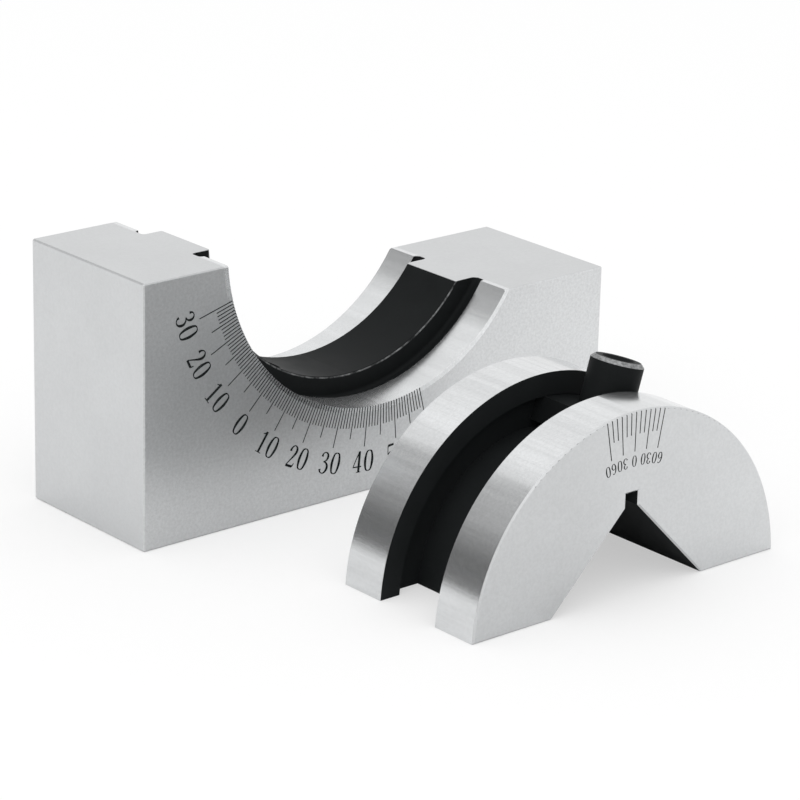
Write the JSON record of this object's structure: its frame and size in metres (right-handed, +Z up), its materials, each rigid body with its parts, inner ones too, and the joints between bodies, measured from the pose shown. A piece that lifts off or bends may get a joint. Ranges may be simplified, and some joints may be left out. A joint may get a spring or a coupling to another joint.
{
  "type": "adjustable-angle v block",
  "caption": "Precision angle V block taken apart: stepped cradle block with degree scale, half-round rocker with 90 degree V and curved T-slot, T-nut and clamp screw.",
  "frame": {"origin": "centre of the cradle block's bottom face", "axes": "+X along the cradle block from the tall arm to the low arm, +Y from the scale face to the back, +Z up; the rocker stands in front, at -Y"},
  "size_m": [0.15, 0.1363, 0.068],
  "materials": {
    "ground_steel": "fine ground",
    "black_steel": "black oxide"
  },
  "bodies": {
    "block": {"base": "ground_steel", "rocker": "ground_steel"},
    "t_nut": {"t_nut": "black_steel"},
    "clamp_screw": {"clamp_screw": "black_steel"}
  },
  "joints": [
    {"name": "t_nut_travel", "type": "hinge", "parent": "block", "child": "t_nut", "pos_m": [0.0002, -0.0903, -0.0027], "axis": [0, 1, 0], "range_deg": [-61.8, 28.2]},
    {"name": "clamp_screw_turn", "type": "hinge", "parent": "block", "child": "clamp_screw", "pos_m": [-0.0358, 0, 0.01108], "axis": [-0.5, 0, -0.866], "continuous": true}
  ]
}
